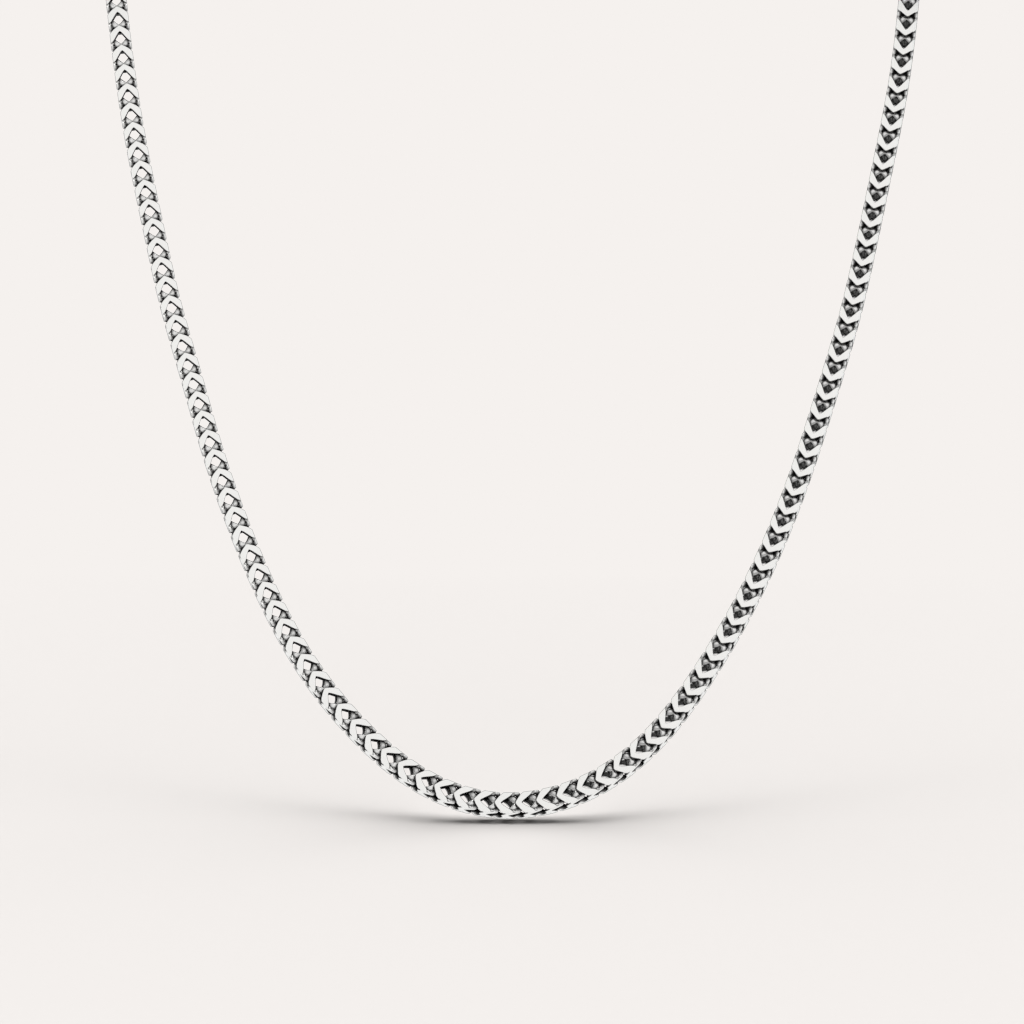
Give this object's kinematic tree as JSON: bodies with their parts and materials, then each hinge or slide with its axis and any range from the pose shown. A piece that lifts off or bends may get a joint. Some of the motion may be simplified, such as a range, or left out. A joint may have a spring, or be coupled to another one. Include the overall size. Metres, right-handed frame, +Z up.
{
  "type": "chain necklace",
  "caption": "Silver necklace of square-section V-link chain in its hanging form: a leaning U in front, rising over the shoulders to a plain barrel clasp at the nape.",
  "frame": {"origin": "nape: the centre of the clasp on the chain's centre line, where the necklace rests on the neck", "axes": "+Z up, -Y to the wearer's front, +X to the viewer's right"},
  "size_m": [0.1226, 0.1007, 0.1585],
  "materials": {
    "chain_silver": "planed bright faces with blackened recesses between the links",
    "clasp_silver": "polished, with blackened grooves"
  },
  "bodies": {
    "root": {"chain": "chain_silver", "clasp": "clasp_silver"}
  },
  "joints": []
}
